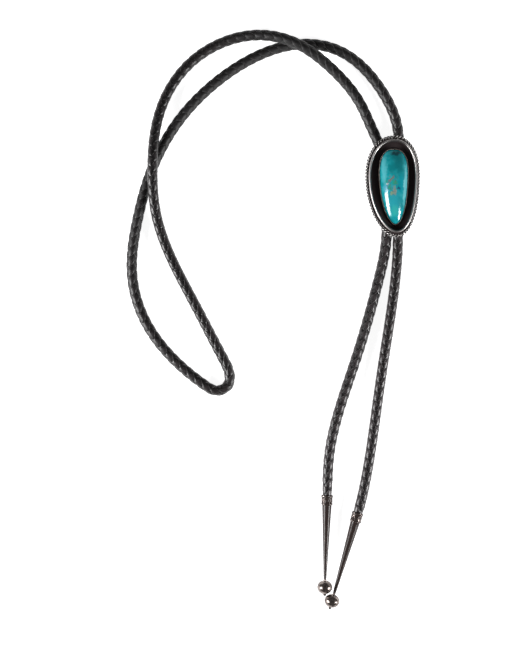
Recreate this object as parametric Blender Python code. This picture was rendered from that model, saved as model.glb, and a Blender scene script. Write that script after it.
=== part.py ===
# Bolo tie laid flat: a braided leather cord with metal tips, and an oval slide with a blue-green stone.
# Lengths below are in millimetres and the model is made in metres. +Z is up, the surface it lies on is z = 0,
# and the origin is the middle of the flat underside of the slide's clasp, with the tips towards -Y.

import bmesh
import bpy
import numpy as np
from mathutils import Vector

MM = 0.001

# Cord
CORD_DIAMETER = 5.0
CORD_END_DIAMETER = 4.4  # where it is pinched into a tip's collar
CORD_TAPER_LENGTH = 24.0  # over which it narrows towards a tip
STRAND_CLEARANCE = 0.8  # between its two strands inside the clasp
PIECE_GAP = 0.3
CROSSING_SPARE = 0.2  # more room where one strand passes over the other
MOUTH_LEAD = 1.5  # how far before a tip's mouth the cord already runs straight into it

# Clasp, a plain flattened sleeve behind the slide
CLASP_LENGTH = 18.0
CLASP_WALL = 0.8

# Slide
SLIDE_WIDTH = 27.0
SLIDE_LENGTH = 50.7
ROPE_DIAMETER = 1.3
ROPE_LOBES = 76
ROPE_TWIST_DEPTH = 0.12  # in shares of its radius
PLATE_THICKNESS = 1.2
RIM_INSET = 1.25  # from the border's outer edge
RIM_END_INSET = 0.6  # how much further in it is at the slide's upper and lower end
RIM_WIDTH = 1.1
RIM_HEIGHT = 3.3  # above the back plate's upper face
BEZEL_WALL = 0.4
BEZEL_HEIGHT = 1.5
EDGE_ROUNDING = 0.15

# Stone
STONE_WIDTH = 13.9
STONE_LENGTH = 37.4
STONE_HEIGHT = 5.4
GIRDLE_BELOW_BEZEL = 0.2  # where the stone's straight side ends and its dome starts
DOME_POWER = 1.5  # 1 would be a half ellipse and 2 a parabola

# Tips
TIP_LENGTH = 46.8  # from the collar's mouth to the middle of the ball
COLLAR_WALL = 0.28
COLLAR_RING = 0.24  # how far the mouth's twisted ring stands out
COLLAR_LENGTH = 5.2
CONE_WIDE_DIAMETER = 4.8
CONE_NARROW_DIAMETER = 1.4
BALL_DIAMETER = 7.7
BALL_LENGTH = 7.0
NUB_DIAMETER = 1.5
NUB_LENGTH = 0.9
SOCKET_SHARE = 0.82  # of the collar's length

# Where each tip's mouth is (x, y), and the way that the tip points, in degrees turned from -Y towards +X
TIP_PLACES = {
    "left_tip": {"mouth": (-32.9, -156.8), "heading": -1.5},
    "right_tip": {"mouth": (-17.2, -165.7), "heading": -16.5},
}

# The cord's middle line in rows of x, y and rise, the share of a crossing's height: 1 where the cord passes
# over its other strand. Between these stretches it runs through the clasp, and past them into the tips.
LEFT_TAIL = (
    (-31.9, -137.0, 0),
    (-28.2, -118.6, 0),
    (-18.4, -88.0, 0),
    (-6.7, -47.2, 0),
    (-2.8, -27.0, 0),
)
NECK_LOOP = (
    (-10.1, 30.0, 0),
    (-16.1, 42.9, 0),
    (-31.6, 60.9, 0.45),
    (-49.3, 72.6, 1),
    (-67.1, 77.1, 0.5),
    (-87.5, 73.3, 0),
    (-107.9, 57.8, 0),
    (-118.8, 35.5, 0.4),
    (-121.5, 11.5, 1),
    (-119.5, -15.5, 0.35),
    (-101.5, -57.4, 0),
    (-85.8, -87.4, 0),
    (-82.8, -94.6, 0),
    (-83.4, -100.6, 0),
    (-88.6, -103.6, 0),
    (-95.4, -100.7, 0),
    (-105.4, -92.9, 0),
    (-124.6, -70.0, 0),
    (-132.2, -46.0, 0),
    (-129.6, -16.6, 0),
    (-121.3, 11.5, 0),
    (-107.6, 35.2, 0),
    (-87.5, 55.2, 0),
    (-67.1, 67.6, 0),
    (-46.7, 73.0, 0),
    (-26.3, 69.4, 0),
    (-6.2, 51.0, 0),
    (3.3, 28.5, 0),
)
RIGHT_TAIL = (
    (3.2, -27.0, 0),
    (0.6, -57.4, 0),
    (-5.6, -98.2, 0),
    (-12.2, -143.5, 0),
)

# A collar's sections in rows of along, out and lobes: along in shares of the collar's length, out in shares
# of what the mouth's ring stands out from the sleeve, and lobes the share of that which the twist takes.
COLLAR_SECTIONS = (
    (0.00, 0.10, 0.0),
    (0.03, 0.70, 0.3),
    (0.12, 1.00, 0.5),
    (0.21, 0.70, 0.3),
    (0.26, 0.00, 0.0),
    (0.42, 0.20, 1.0),
    (0.60, 0.20, 1.0),
    (0.76, 0.00, 0.0),
    (0.81, 0.45, 0.3),
    (0.89, 0.60, 0.4),
    (0.97, 0.30, 0.2),
)
COLLAR_LOBES = 14

AROUND_SLIDE = ROPE_LOBES
SAMPLES_PER_LOBE = 3
AROUND_STONE = 48
AROUND_TIP = 2 * COLLAR_LOBES

# Derived heights, from the surface up
cord_rest = CORD_DIAMETER / 2
crossing_rise = CORD_DIAMETER + PIECE_GAP + CROSSING_SPARE
channel_radius = CORD_DIAMETER / 2 + PIECE_GAP
strand_offset = (CORD_DIAMETER + STRAND_CLEARANCE) / 2
clasp_middle = CLASP_WALL + channel_radius
clasp_top = 2 * clasp_middle
plate_bottom = clasp_top + PIECE_GAP
plate_top = plate_bottom + PLATE_THICKNESS
rim_top = plate_top + RIM_HEIGHT
bezel_top = plate_top + BEZEL_HEIGHT
stone_bottom = plate_top + PIECE_GAP

# Derived sizes of a tip
sleeve_inner = CORD_END_DIAMETER / 2 + PIECE_GAP
sleeve_outer = sleeve_inner + COLLAR_WALL
mouth_radius = sleeve_outer + COLLAR_RING
socket_depth = SOCKET_SHARE * COLLAR_LENGTH
cord_in_socket = socket_depth - PIECE_GAP


def clear_scene():
    for obj in list(bpy.data.objects):
        bpy.data.objects.remove(obj, do_unlink=True)


def make_material(name, color, roughness, metallic):
    material = bpy.data.materials.new(name)
    material.use_nodes = True
    shader = material.node_tree.nodes["Principled BSDF"]
    shader.inputs["Base Color"].default_value = (*color, 1.0)
    shader.inputs["Roughness"].default_value = roughness
    shader.inputs["Metallic"].default_value = metallic
    return material


def smooth_line(points, step=0.5):
    """The natural cubic spline through the points, measured along their chords, read every step."""
    points = np.array(points, float)
    chord = np.linalg.norm(np.diff(points, axis=0), axis=1)
    knots = np.concatenate([[0.0], np.cumsum(chord)])
    count = len(points)
    system = np.eye(count)
    right = np.zeros((count, 3))
    for i in range(1, count - 1):
        system[i, i - 1 : i + 2] = chord[i - 1], 2 * (chord[i - 1] + chord[i]), chord[i]
        slope = np.diff(points[i - 1 : i + 2], axis=0) / chord[i - 1 : i + 1, None]
        right[i] = 6 * (slope[1] - slope[0])
    bend = np.linalg.solve(system, right)
    at = np.linspace(0.0, knots[-1], int(knots[-1] / step) + 1)
    span = np.clip(np.searchsorted(knots, at, side="right") - 1, 0, count - 2)
    width = chord[span][:, None]
    before = (knots[span + 1] - at)[:, None]
    after = (at - knots[span])[:, None]
    curved = (bend[span] * before**3 + bend[span + 1] * after**3) / (6 * width)
    start = (points[span] / width - bend[span] * width / 6) * before
    end = (points[span + 1] / width - bend[span + 1] * width / 6) * after
    return curved + start + end


def tip_axis(name):
    """A tip's mouth and the unit vector along it, tilted so that its collar and its ball both touch z = 0."""
    place = TIP_PLACES[name]
    angle = np.radians(place["heading"])
    fall = (BALL_DIAMETER / 2 - mouth_radius) / TIP_LENGTH
    level = np.sqrt(1 - fall**2)
    axis = np.array([np.sin(angle) * level, -np.cos(angle) * level, fall])
    return np.array([*place["mouth"], mouth_radius]), axis


def cord_line():
    """The cord's middle line from one tip's socket to the other's, through the clasp twice."""

    def lifted(rows):
        return [(x, y, cord_rest + rise * crossing_rise) for x, y, rise in rows]

    def in_clasp(side, way):
        half = CLASP_LENGTH / 2
        return [(side * strand_offset, way * y, clasp_middle) for y in (-half, 0.0, half)]

    left_mouth, left_axis = tip_axis("left_tip")
    right_mouth, right_axis = tip_axis("right_tip")
    route = [left_mouth + cord_in_socket * left_axis, left_mouth - MOUTH_LEAD * left_axis]
    route += lifted(LEFT_TAIL) + in_clasp(-1, 1)
    route += lifted(NECK_LOOP) + in_clasp(1, -1)
    route += lifted(RIGHT_TAIL)
    route += [right_mouth - MOUTH_LEAD * right_axis, right_mouth + cord_in_socket * right_axis]
    line = smooth_line(route)
    line[:, 2] = np.maximum(line[:, 2], cord_rest)
    return line


def along_of(line):
    return np.concatenate([[0.0], np.cumsum(np.linalg.norm(np.diff(line, axis=0), axis=1))])


def spaced_by_bend(line, widest, narrowest, share):
    """Places along the line, closer together where it bends: a share of the bend's radius apart."""
    along = along_of(line)
    heading = np.gradient(line, along, axis=0)
    heading /= np.linalg.norm(heading, axis=1)[:, None]
    bend = np.linalg.norm(np.gradient(heading, along, axis=0), axis=1)
    step = np.clip(share / np.maximum(bend, 1e-6), narrowest, widest)
    window = np.ones(9) / 9
    step = np.convolve(np.pad(step, 4, mode="edge"), window, mode="valid")
    counted = np.concatenate([[0.0], np.cumsum(np.diff(along) / step[1:])])
    return np.interp(np.linspace(0.0, counted[-1], int(counted[-1]) + 2), counted, along)


def make_cord(material):
    line = cord_line()
    along = along_of(line)
    places = spaced_by_bend(line, widest=15.0, narrowest=3.5, share=0.4)
    points = np.stack([np.interp(places, along, line[:, k]) for k in range(3)], axis=1)
    inside = np.minimum(places, along[-1] - places) - cord_in_socket
    narrow = CORD_END_DIAMETER / CORD_DIAMETER
    radii = narrow + (1 - narrow) * np.clip(inside / CORD_TAPER_LENGTH, 0.0, 1.0)
    curve = bpy.data.curves.new("braided_cord", "CURVE")
    curve.dimensions = "3D"
    curve.bevel_depth = CORD_DIAMETER / 2 * MM
    curve.bevel_resolution = 3
    curve.use_fill_caps = True
    spline = curve.splines.new("POLY")
    spline.points.add(len(points) - 1)
    for point, place, radius in zip(spline.points, points, radii):
        point.co = (*(place * MM), 1.0)
        point.radius = radius
    spline.use_smooth = True
    cord = bpy.data.objects.new("braided_cord", curve)
    curve.materials.append(material)
    return cord


def skin(name, rings, material):
    """One closed body through rings of points, in order. A ring of one point is a pole, and a ring may have a
    whole number of times as many points as its neighbour."""
    model = bmesh.new()
    made = [[model.verts.new(Vector(point) * MM) for point in ring] for ring in rings]
    for low, high in zip(made, made[1:]):
        few, many = (low, high) if len(low) <= len(high) else (high, low)
        times = len(many) // len(few)
        for i, vertex in enumerate(few):
            if len(few) == 1:
                for j, first in enumerate(many):
                    model.faces.new((vertex, many[(j + 1) % times], first))
                continue
            following = few[(i + 1) % len(few)]
            run = [many[(i * times + j) % len(many)] for j in range(times + 1)]
            middle = times // 2
            model.faces.new((vertex, following, run[middle]))
            for j in range(times):
                model.faces.new((vertex if j < middle else following, run[j + 1], run[j]))
    bmesh.ops.recalc_face_normals(model, faces=model.faces)
    mesh = bpy.data.meshes.new(name)
    model.to_mesh(mesh)
    model.free()
    if sum(face.center.dot(face.normal) * face.area for face in mesh.polygons) < 0:
        mesh.flip_normals()
    mesh.materials.append(material)
    mesh.shade_smooth()
    mesh.set_sharp_from_angle(angle=0.7)
    return bpy.data.objects.new(name, mesh)


def egg(count, width, length, wide_at, upper_power, lower_power, drift, centre):
    """An egg-shaped outline, counter-clockwise from +X. wide_at is the share of its length above its widest
    line, and drift is how far its middle line leans to +X at its top and bottom."""
    turn = np.linspace(0.0, 2 * np.pi, count, endpoint=False)
    up = np.sin(turn) > 0
    power = np.where(up, upper_power, lower_power)
    tall = np.where(up, wide_at, 1 - wide_at) * length
    across = np.sign(np.cos(turn)) * np.abs(np.cos(turn)) ** (2 / power)
    rise = np.sign(np.sin(turn)) * np.abs(np.sin(turn)) ** (2 / power)
    lean = np.where(up, drift[0], drift[1]) * rise**2
    middle = length * (0.5 - wide_at)
    return np.stack([centre[0] + lean + across * width / 2, centre[1] + middle + rise * tall], axis=1)


def even(count, **shape):
    """The same outline with its points evenly spaced, so that the twisted border's lobes are all one size,
    and its outward normals."""
    fine = egg(2880, **shape)
    closed = np.vstack([fine, fine[:1]])
    along = np.concatenate([[0.0], np.cumsum(np.linalg.norm(np.diff(closed, axis=0), axis=1))])
    places = np.linspace(0.0, along[-1], count, endpoint=False)
    line = np.stack([np.interp(places, along, closed[:, k]) for k in range(2)], axis=1)
    tangent = np.roll(line, -1, axis=0) - np.roll(line, 1, axis=0)
    tangent /= np.linalg.norm(tangent, axis=1)[:, None]
    return line, np.stack([tangent[:, 1], -tangent[:, 0]], axis=1)


def slide_shape(inset=0.0, end_inset=0.0):
    """The slide's outline, moved in all round and further in at its two ends."""
    return {
        "width": SLIDE_WIDTH - 2 * inset,
        "length": SLIDE_LENGTH - 2 * (inset + end_inset),
        "wide_at": 0.40,
        "upper_power": 2.2,
        "lower_power": 2.0,
        "drift": (0.025 * SLIDE_WIDTH, 0.075 * SLIDE_WIDTH),
        "centre": (0.0, 0.05),
    }


def stone_shape(grow):
    """The stone's outline, grown by a margin all round."""
    return {
        "width": STONE_WIDTH + 2 * grow,
        "length": STONE_LENGTH + 2 * grow,
        "wide_at": 0.31,
        "upper_power": 2.6,
        "lower_power": 1.95,
        "drift": (0.0, 0.06 * STONE_WIDTH),
        "centre": (0.45, -0.3),
    }


def make_setting(material):
    """Back plate, twisted-wire border, standing rim and toothed bezel, soldered into one piece."""

    def inset(distance, height, shape):
        line, outward = even(AROUND_SLIDE, **shape)
        return np.column_stack([line - distance * outward, np.full(AROUND_SLIDE, height)])

    def round_stone(grow, height):
        line = egg(AROUND_SLIDE, **stone_shape(grow))
        return np.column_stack([line, np.full(AROUND_SLIDE, height)])

    def rope(section):
        """One line along the border: section is its angle round the wire, 0 outwards and 90 up. Two strands
        twist once in two lobes, so the wire is thickest where the section's angle keeps step with them."""
        count = AROUND_SLIDE * SAMPLES_PER_LOBE
        line, outward = even(count, **slide_shape())
        phase = 2 * np.pi * np.arange(count) / SAMPLES_PER_LOBE
        radius = ROPE_DIAMETER / 2 * (1 - ROPE_TWIST_DEPTH * (1 - np.cos(2 * section - phase)))
        out = radius * np.cos(section) - ROPE_DIAMETER / 2
        height = plate_bottom + ROPE_DIAMETER / 2 + radius * np.sin(section)
        return np.column_stack([line + out[:, None] * outward, height])

    slide = slide_shape()
    rim = slide_shape(RIM_INSET, RIM_END_INSET)
    bezel_in = PIECE_GAP
    bezel_out = bezel_in + BEZEL_WALL
    middle = inset(0.0, 0.0, slide).mean(axis=0)
    stone_middle = round_stone(0.0, 0.0).mean(axis=0)
    rings = [[(middle[0], middle[1], plate_bottom)], inset(ROPE_DIAMETER, plate_bottom, slide)]
    rings += [rope(np.radians(angle)) for angle in (-80, -35, 10, 55, 100, 140)]
    rings += [
        inset(0.0, plate_top, rim),
        inset(0.0, rim_top - 3 * EDGE_ROUNDING, rim),
        inset(0.2 * RIM_WIDTH, rim_top - EDGE_ROUNDING / 2, rim),
        inset(0.6 * RIM_WIDTH, rim_top, rim),
        inset(RIM_WIDTH, rim_top - 2 * EDGE_ROUNDING, rim),
        inset(RIM_WIDTH + EDGE_ROUNDING, plate_top, rim),
        round_stone(bezel_out, plate_top),
        round_stone(bezel_out, bezel_top - EDGE_ROUNDING),
        round_stone(bezel_in + 0.5 * BEZEL_WALL, bezel_top),
        round_stone(bezel_in, bezel_top - EDGE_ROUNDING),
        round_stone(bezel_in, plate_top),
        [(stone_middle[0], stone_middle[1], plate_top)],
    ]
    return skin("shadow_box_setting", rings, material)


def make_stone(material):
    """A high domed cabochon: a straight girdle up to the bezel's top, and over it a dome whose height goes
    with the sine of an angle to a power, and its width with the cosine."""
    line = egg(AROUND_STONE, **stone_shape(0.0))
    middle = line.mean(axis=0)
    girdle = bezel_top - GIRDLE_BELOW_BEZEL
    dome = stone_bottom + STONE_HEIGHT - girdle

    def level(share, height):
        return np.column_stack([middle + share * (line - middle), np.full(AROUND_STONE, height)])

    rings = [[(*middle, stone_bottom)], level(0.97, stone_bottom), level(1.0, stone_bottom + EDGE_ROUNDING)]
    for angle in np.radians((0, 10, 22, 34, 46, 58, 70, 81)):
        rings.append(level(np.cos(angle), girdle + dome * np.sin(angle) ** DOME_POWER))
    rings.append([(*middle, girdle + dome)])
    return skin("turquoise_cabochon", rings, material)


def make_clasp(material):
    """A flattened sleeve, open at both ends, that both strands of the cord run through side by side."""

    def outline(radius, y):
        points = []
        for side in (1, -1):
            for angle in np.linspace(-90, 90, 9):
                across = side * (strand_offset + radius * np.cos(np.radians(angle)))
                points.append((across, y, clasp_middle + side * radius * np.sin(np.radians(angle))))
        return points

    half = CLASP_LENGTH / 2
    outer = channel_radius + CLASP_WALL
    loops = [outline(outer, -half), outline(outer, half)]
    loops += [outline(channel_radius, half), outline(channel_radius, -half)]
    model = bmesh.new()
    made = [[model.verts.new(Vector(point) * MM) for point in loop] for loop in loops]
    for here, there in zip(made, made[1:] + made[:1]):
        for i in range(len(here)):
            j = (i + 1) % len(here)
            model.faces.new((here[i], here[j], there[j], there[i]))
    bmesh.ops.recalc_face_normals(model, faces=model.faces)
    mesh = bpy.data.meshes.new("cord_clasp")
    model.to_mesh(mesh)
    model.free()
    mesh.materials.append(material)
    mesh.shade_smooth()
    mesh.set_sharp_from_angle(angle=0.6)
    return bpy.data.objects.new("cord_clasp", mesh)


def make_tip(name, material):
    """A socket collar with a twisted ring at its mouth and another under its stamped band, a long cone and a
    ball with a small nub, turned round its own +Z and then laid along its place's axis."""
    turn = np.linspace(0.0, 2 * np.pi, AROUND_TIP, endpoint=False)
    bumps = np.cos(COLLAR_LOBES * turn)

    def ring(along, radius):
        return np.column_stack([radius * np.cos(turn), radius * np.sin(turn), np.full(AROUND_TIP, along)])

    rings = [[(0.0, 0.0, socket_depth)], ring(socket_depth, sleeve_inner), ring(0.0, sleeve_inner)]
    for along, out, lobes in COLLAR_SECTIONS:
        height = COLLAR_RING * out * (1 + 0.5 * lobes * (bumps - 1))
        rings.append(ring(along * COLLAR_LENGTH, sleeve_outer + height))
    wide = CONE_WIDE_DIAMETER / 2
    narrow = CONE_NARROW_DIAMETER / 2
    ball_start = TIP_LENGTH - BALL_LENGTH / 2 * np.sqrt(1 - (2 * narrow / BALL_DIAMETER) ** 2)
    rings.append(ring(COLLAR_LENGTH, wide))
    rings.append(ring(ball_start, narrow))
    for angle in np.radians(np.arange(150, 25, -15)):
        along = TIP_LENGTH + BALL_LENGTH / 2 * np.cos(angle)
        rings.append(ring(along, BALL_DIAMETER / 2 * np.sin(angle)))
    nub = NUB_DIAMETER / 2
    nub_start = TIP_LENGTH + BALL_LENGTH / 2 * np.sqrt(1 - (2 * nub / BALL_DIAMETER) ** 2)
    end = TIP_LENGTH + BALL_LENGTH / 2 + NUB_LENGTH
    rings += [ring(nub_start, nub), ring(end - nub / 2, nub), ring(end, nub / 2), [(0.0, 0.0, end)]]
    tip = skin(name, rings, material)
    mouth, axis = tip_axis(name)
    tip.location = Vector(mouth) * MM
    tip.rotation_euler = Vector(axis).to_track_quat("Z", "Y").to_euler()
    return tip


clear_scene()
silver = make_material("oxidised_silver", (0.42, 0.39, 0.37), 0.32, 1.0)
tip_silver = make_material("tip_silver", (0.40, 0.37, 0.35), 0.28, 1.0)
turquoise = make_material("turquoise", (0.02, 0.33, 0.36), 0.15, 0.0)
leather = make_material("black_leather", (0.025, 0.022, 0.023), 0.45, 0.0)
clasp_metal = make_material("clasp_metal", (0.45, 0.44, 0.43), 0.35, 1.0)

origin = bpy.data.objects.new("bolo_tie_origin", None)
pieces = [
    make_cord(leather),
    make_clasp(clasp_metal),
    make_setting(silver),
    make_stone(turquoise),
    make_tip("left_tip", tip_silver),
    make_tip("right_tip", tip_silver),
]
for obj in [origin, *pieces]:
    bpy.context.scene.collection.objects.link(obj)
for piece in pieces:
    piece.parent = origin
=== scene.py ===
import bpy
import numpy as np
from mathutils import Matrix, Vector


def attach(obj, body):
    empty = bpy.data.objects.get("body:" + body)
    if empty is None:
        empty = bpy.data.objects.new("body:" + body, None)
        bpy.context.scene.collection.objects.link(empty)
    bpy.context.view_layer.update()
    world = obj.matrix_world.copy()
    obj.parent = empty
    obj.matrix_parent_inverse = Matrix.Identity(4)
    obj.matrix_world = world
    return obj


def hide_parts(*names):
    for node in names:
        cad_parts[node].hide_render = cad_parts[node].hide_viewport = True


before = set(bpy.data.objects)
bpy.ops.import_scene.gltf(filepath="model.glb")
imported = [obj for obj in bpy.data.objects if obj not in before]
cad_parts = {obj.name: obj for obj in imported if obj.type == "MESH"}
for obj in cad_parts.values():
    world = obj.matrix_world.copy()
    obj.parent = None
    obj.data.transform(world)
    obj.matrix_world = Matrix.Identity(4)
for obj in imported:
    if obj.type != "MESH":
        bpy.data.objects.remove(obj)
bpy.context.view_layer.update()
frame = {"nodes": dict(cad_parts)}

# Bolo tie laid flat and seen from straight above. Lengths are in metres, in the frame of the CAD model.

scene = bpy.context.scene
upward = np.array([0.0, 0.0, 1.0])


# Meshes


def gridFaces(rows, columns, acrossClosed, alongClosed, capped):
    # One quad between each two rows and each two columns; a cap is one face over an end row.
    index = np.arange(rows * columns).reshape(rows, columns)
    if alongClosed:
        index = np.vstack([index, index[:1]])
    if acrossClosed:
        index = np.hstack([index, index[:, :1]])
    corners = [index[:-1, :-1], index[:-1, 1:], index[1:, 1:], index[1:, :-1]]
    faces = np.stack(corners, axis=-1).reshape(-1, 4).tolist()
    if capped:
        faces.append(np.arange(columns)[::-1].tolist())
        faces.append(((rows - 1) * columns + np.arange(columns)).tolist())
    return faces


def faceOut(mesh):
    # Each face's centre times its area vector adds up to three times the volume, negative if inside out.
    count = len(mesh.polygons)
    centres = np.zeros(count * 3)
    normals = np.zeros(count * 3)
    areas = np.zeros(count)
    mesh.polygons.foreach_get("center", centres)
    mesh.polygons.foreach_get("normal", normals)
    mesh.polygons.foreach_get("area", areas)
    if ((centres * normals).reshape(-1, 3).sum(axis=1) * areas).sum() < 0:
        mesh.flip_normals()


def makePiece(name, grids, marks=None, acrossClosed=True, alongClosed=False, capped=True, sharp=None):
    # Joins grids of points (along, across, xyz) into one mesh; marks are values for each point, kept by name.
    faces = []
    shift = 0
    for grid in grids:
        rows, columns = grid.shape[:2]
        for face in gridFaces(rows, columns, acrossClosed, alongClosed, capped):
            faces.append([corner + shift for corner in face])
        shift += rows * columns
    mesh = bpy.data.meshes.new(name)
    mesh.from_pydata(np.concatenate([grid.reshape(-1, 3) for grid in grids]).tolist(), [], faces)
    mesh.shade_smooth()
    if sharp:
        mesh.set_sharp_from_angle(angle=np.radians(sharp))
    for markName, values in (marks or {}).items():
        flat = np.concatenate([np.ravel(value) for value in values]).astype(np.float32)
        mesh.attributes.new(markName, "FLOAT", "POINT").data.foreach_set("value", flat)
    faceOut(mesh)
    piece = bpy.data.objects.new(name, mesh)
    scene.collection.objects.link(piece)
    return piece


def dress(piece, material, slot, *nodes):
    piece.data.materials.clear()
    piece.data.materials.append(material)
    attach(piece, "root")
    if nodes:
        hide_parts(*nodes)
    print(piece.name, "made,", len(piece.data.polygons), "faces")


def unit(vectors):
    return vectors / np.linalg.norm(vectors, axis=-1, keepdims=True)


def smoothStep(low, high, value):
    # Rises from 0 at low to 1 at high, level at both ends: 3s squared less 2s cubed.
    share = np.clip((value - low) / (high - low), 0.0, 1.0)
    return share**2 * (3 - 2 * share)


# Materials


def newMaterial(name):
    material = bpy.data.materials.new(name)
    material.use_nodes = True
    tree = material.node_tree
    return material, tree, tree.nodes["Principled BSDF"]


def node(tree, kind, settings=None, **inputs):
    # Adds a node, sets its properties, and sets or links its inputs by name or, as in0, by number.
    made = tree.nodes.new(kind)
    for key, value in (settings or {}).items():
        setattr(made, key, value)
    for key, value in inputs.items():
        socket = made.inputs[int(key[2:])] if key[:2] == "in" and key[2:].isdigit() else made.inputs[key]
        if isinstance(value, bpy.types.NodeSocket):
            tree.links.new(value, socket)
        else:
            socket.default_value = value
    return made


def ramp(tree, factor, *stops):
    made = node(tree, "ShaderNodeValToRGB", Fac=factor)
    elements = made.color_ramp.elements
    while len(elements) < len(stops):
        elements.new(0.5)
    for element, (place, color) in zip(elements, stops):
        element.position = place
        element.color = (*color, 1.0)
    return made.outputs["Color"]


def mark(tree, name):
    return node(tree, "ShaderNodeAttribute", {"attribute_name": name}).outputs["Fac"]


def objectCoordinates(tree):
    return node(tree, "ShaderNodeTexCoord").outputs["Object"]


def noise(tree, place, scale, detail=3.0, rough=0.5):
    made = node(tree, "ShaderNodeTexNoise", Vector=place, Scale=scale, Detail=detail, Roughness=rough)
    return made.outputs["Fac"]


def math(tree, operation, first, second=0.0):
    return node(tree, "ShaderNodeMath", {"operation": operation}, in0=first, in1=second).outputs[0]


def vectorMath(tree, operation, **inputs):
    return node(tree, "ShaderNodeVectorMath", {"operation": operation}, **inputs).outputs["Vector"]


def mapRange(tree, value, low, high, toLow=0.0, toHigh=1.0):
    inputs = {"Value": value, "From Min": low, "From Max": high, "To Min": toLow, "To Max": toHigh}
    return node(tree, "ShaderNodeMapRange", None, **inputs).outputs["Result"]


def mixColor(tree, factor, first, second):
    colors = [(*value, 1.0) if isinstance(value, tuple) else value for value in (first, second)]
    made = node(tree, "ShaderNodeMix", {"data_type": "RGBA"}, in0=factor, in6=colors[0], in7=colors[1])
    return made.outputs[2]


def bump(tree, shader, height, distance, strength=1.0):
    made = node(tree, "ShaderNodeBump", None, Height=height, Distance=distance, Strength=strength)
    tree.links.new(made.outputs["Normal"], shader.inputs["Normal"])


# Camera, light and floor

view = {
    "imageWidth": 522,
    "imageHeight": 652,
    "pixelSize": 0.00051,  # at the height of the cord's middle
    "cordHeight": 0.0025,
    "cameraHeight": 0.75,
    "originPixel": (391.6, 187.5),  # where the clasp's middle is in the photograph
    "sensor": 36.0,
    "nearClip": 0.01,
}


def addCamera():
    # The lens is the sensor times the distance over the height of what the camera sees at that distance.
    distance = view["cameraHeight"] - view["cordHeight"]
    data = bpy.data.cameras.new("camera")
    data.sensor_width = view["sensor"]
    data.lens = view["sensor"] * distance / (view["imageHeight"] * view["pixelSize"])
    data.clip_start = view["nearClip"]
    camera = bpy.data.objects.new("camera", data)
    right = (view["imageWidth"] / 2 - view["originPixel"][0]) * view["pixelSize"]
    up = (view["originPixel"][1] - view["imageHeight"] / 2) * view["pixelSize"]
    camera.location = (right, up, view["cameraHeight"])
    scene.collection.objects.link(camera)
    scene.camera = camera


studio = {
    "middle": (-0.05, -0.07, 0.0),
    "softboxes": {
        "leftSoftbox": {"place": (-0.75, -0.26, 0.32), "size": (0.36, 0.38), "power": 8.8},
        "rightSoftbox": {"place": (0.65, -0.37, 0.35), "size": (0.25, 0.30), "power": 6.8},
    },
    "zenith": 0.08,
    "horizon": 0.25,
    "horizonHeights": (0.12, 0.55),  # sine of the height at which the horizon's light starts and stops fading
    "floorColor": (0.90, 0.90, 0.90),
    "floorGlow": 0.88,  # it is a light table, so shadows stay faint
    "floorRoughness": 0.7,
    "floorSpecular": 0.1,
    "floorSize": 4.0,
}


def addLights():
    for name, box in studio["softboxes"].items():
        data = bpy.data.lights.new(name, "AREA")
        data.shape = "RECTANGLE"
        data.size, data.size_y = box["size"]
        data.energy = box["power"]
        light = bpy.data.objects.new(name, data)
        light.location = box["place"]
        aim = Vector(studio["middle"]) - Vector(box["place"])
        light.rotation_euler = aim.to_track_quat("-Z", "Y").to_euler()
        scene.collection.objects.link(light)
    world = bpy.data.worlds.new("studio")
    world.use_nodes = True
    tree = world.node_tree
    direction = node(tree, "ShaderNodeTexCoord").outputs["Generated"]
    height = node(tree, "ShaderNodeSeparateXYZ", Vector=direction).outputs["Z"]
    low, high = studio["horizonHeights"]
    strength = mapRange(tree, height, low, high, studio["horizon"], studio["zenith"])
    tree.links.new(strength, tree.nodes["Background"].inputs["Strength"])
    tree.nodes["Background"].inputs["Color"].default_value = (1.0, 1.0, 1.0, 1.0)
    scene.world = world


def addFloor():
    half = studio["floorSize"] / 2
    corners = np.array([[[-half, -half, 0], [half, -half, 0]], [[-half, half, 0], [half, half, 0]]], float)
    floor = makePiece("floor", [corners], acrossClosed=False, capped=False)
    if floor.data.polygons[0].normal.z < 0:
        floor.data.flip_normals()
    material, _, shader = newMaterial("pale_floor")
    shader.inputs["Base Color"].default_value = (*studio["floorColor"], 1.0)
    shader.inputs["Roughness"].default_value = studio["floorRoughness"]
    shader.inputs["Specular IOR Level"].default_value = studio["floorSpecular"]
    shader.inputs["Emission Color"].default_value = (1.0, 1.0, 1.0, 1.0)
    shader.inputs["Emission Strength"].default_value = studio["floorGlow"]
    floor.data.materials.append(material)


addCamera()
addLights()
addFloor()
scene.view_settings.view_transform = "Standard"
print("camera, lights and floor made")


# Shared sizes, as in the CAD model

sizes = {
    "cordDiameter": 0.005,
    "cordEndDiameter": 0.0044,
    "strandClearance": 0.0008,
    "pieceGap": 0.0003,
    "mouthLead": 0.0015,
    "claspLength": 0.018,
    "claspWall": 0.0008,
    "plateThickness": 0.0012,
    "rimInset": 0.00125,
    "rimEndInset": 0.0006,
    "rimWidth": 0.0011,
    "rimHeight": 0.0033,
    "bezelHeight": 0.0015,
    "bezelWall": 0.0004,
    "stoneHeight": 0.0054,
    "girdleBelowBezel": 0.0002,
    "tipLength": 0.0468,
    "collarLength": 0.0052,
    "collarWall": 0.00028,
    "collarRing": 0.00024,
    "socketShare": 0.82,
    "ballDiameter": 0.0077,
    "ballLength": 0.0070,
}
channelRadius = sizes["cordDiameter"] / 2 + sizes["pieceGap"]
claspMiddle = sizes["claspWall"] + channelRadius
strandOffset = (sizes["cordDiameter"] + sizes["strandClearance"]) / 2
plateBottom = 2 * claspMiddle + sizes["pieceGap"]
plateTop = plateBottom + sizes["plateThickness"]
rimTop = plateTop + sizes["rimHeight"]
bezelTop = plateTop + sizes["bezelHeight"]
stoneBottom = plateTop + sizes["pieceGap"]
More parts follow.
